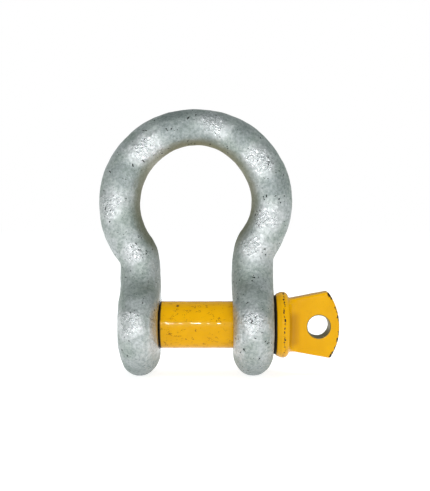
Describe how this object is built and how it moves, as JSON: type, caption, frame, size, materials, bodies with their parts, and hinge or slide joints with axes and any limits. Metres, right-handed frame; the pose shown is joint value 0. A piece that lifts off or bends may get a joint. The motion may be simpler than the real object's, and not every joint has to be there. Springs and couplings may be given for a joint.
{
  "type": "bow shackle",
  "caption": "Galvanised bow shackle with a round bow, two ears and a yellow screw pin that has a collar and a flat head with an eye.",
  "frame": {"origin": "on the screw pin's axis, midway between the two ears", "axes": "+X along the pin towards its flat head, +Z from the pin towards the crown of the bow, the front faces -Y"},
  "size_m": [0.1438, 0.0604, 0.1601],
  "materials": {
    "galvanised_steel": "satin",
    "yellow_paint": "gloss"
  },
  "bodies": {
    "bow": {"bow": "galvanised_steel"},
    "screw_pin": {"screw_pin": "yellow_paint"}
  },
  "joints": [
    {"name": "pin_withdraw", "type": "slide", "parent": "bow", "child": "screw_pin", "axis": [1, 0, 0], "range_m": [0, 0.11]}
  ]
}
